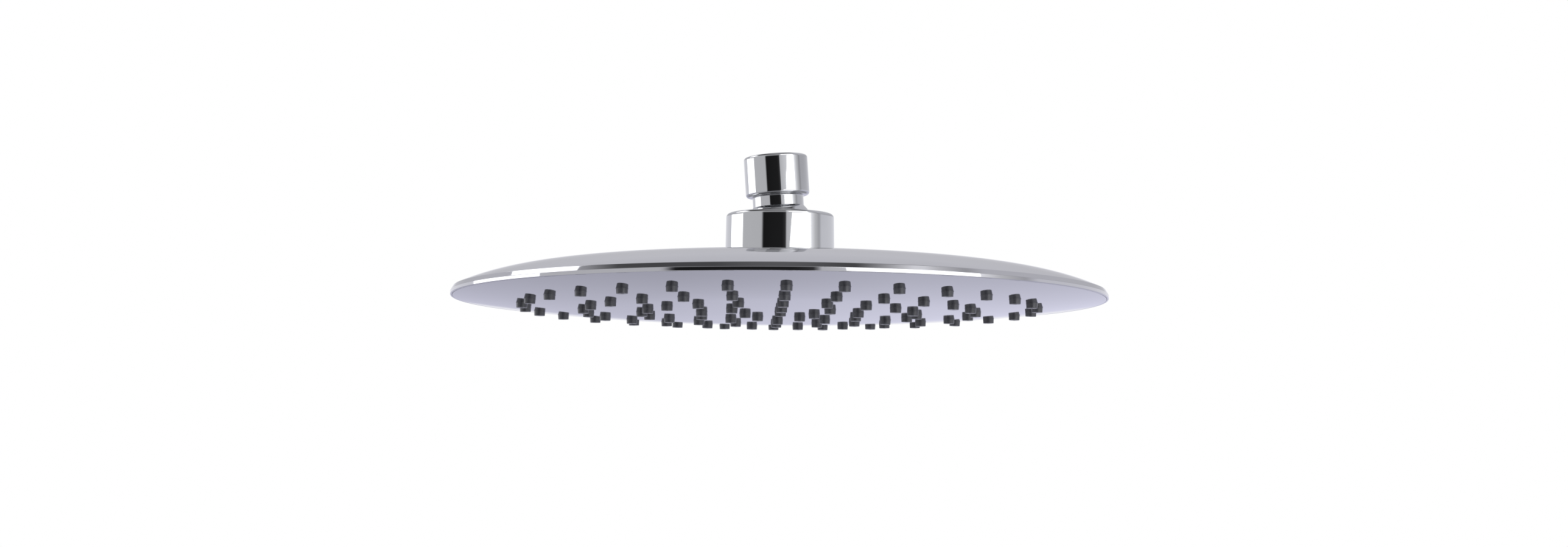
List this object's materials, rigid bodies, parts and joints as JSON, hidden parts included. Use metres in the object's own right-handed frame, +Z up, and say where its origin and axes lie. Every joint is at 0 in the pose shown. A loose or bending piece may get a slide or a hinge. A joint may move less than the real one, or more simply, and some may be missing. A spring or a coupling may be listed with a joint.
{
  "type": "rain shower head",
  "caption": "Round overhead rain shower head with a domed chrome shell, a crowned face of rubber nozzles and a ball swivel inlet.",
  "frame": {"origin": "centre of the inlet's mouth", "axes": "+Z up along the head's own axis, -Y towards the camera of the picture, the inlet leaning 4 degrees towards -X"},
  "size_m": [0.25, 0.25, 0.0634],
  "materials": {
    "chromed_brass": "chrome-plated brass, polished",
    "chromed_abs": "chrome-plated ABS, polished",
    "black_silicone": "moulded silicone, satin",
    "black_rubber": "moulded EPDM rubber",
    "white_acetal": "turned acetal",
    "grey_nylon": "moulded glass-filled nylon",
    "green_nylon": "moulded nylon",
    "stainless": "stainless steel",
    "bare_brass": "turned brass"
  },
  "bodies": {
    "inlet": {"inlet_connector": "chromed_brass", "filter_screen": "stainless", "inlet_washer": "black_rubber", "flow_regulator": "green_nylon", "regulator_o_ring": "black_rubber"},
    "liner": {"ball_liner": "white_acetal"},
    "seat": {"ball_seat": "white_acetal", "ball_seal": "black_rubber", "slip_ring": "white_acetal"},
    "head": {"collar": "chromed_brass", "spigot": "bare_brass", "spigot_gasket": "black_rubber", "top_shell": "chromed_abs", "rim_gasket": "black_rubber", "face_plate": "chromed_abs", "nozzle_mat": "black_silicone", "mat_retainer": "grey_nylon", "retainer_screws": "stainless"}
  },
  "joints": [
    {"name": "swivel_turn", "type": "hinge", "parent": "inlet", "child": "liner", "pos_m": [0.002, 0, -0.02863], "axis": [-0.0698, 0, 0.9976], "continuous": true},
    {"name": "swivel_tilt", "type": "hinge", "parent": "liner", "child": "seat", "pos_m": [0.002, 0, -0.02863], "axis": [0, 1, 0], "range_deg": [-19, 11]},
    {"name": "head_spin", "type": "hinge", "parent": "seat", "child": "head", "pos_m": [0.002, 0, -0.02863], "axis": [0, 0, 1], "continuous": true}
  ]
}
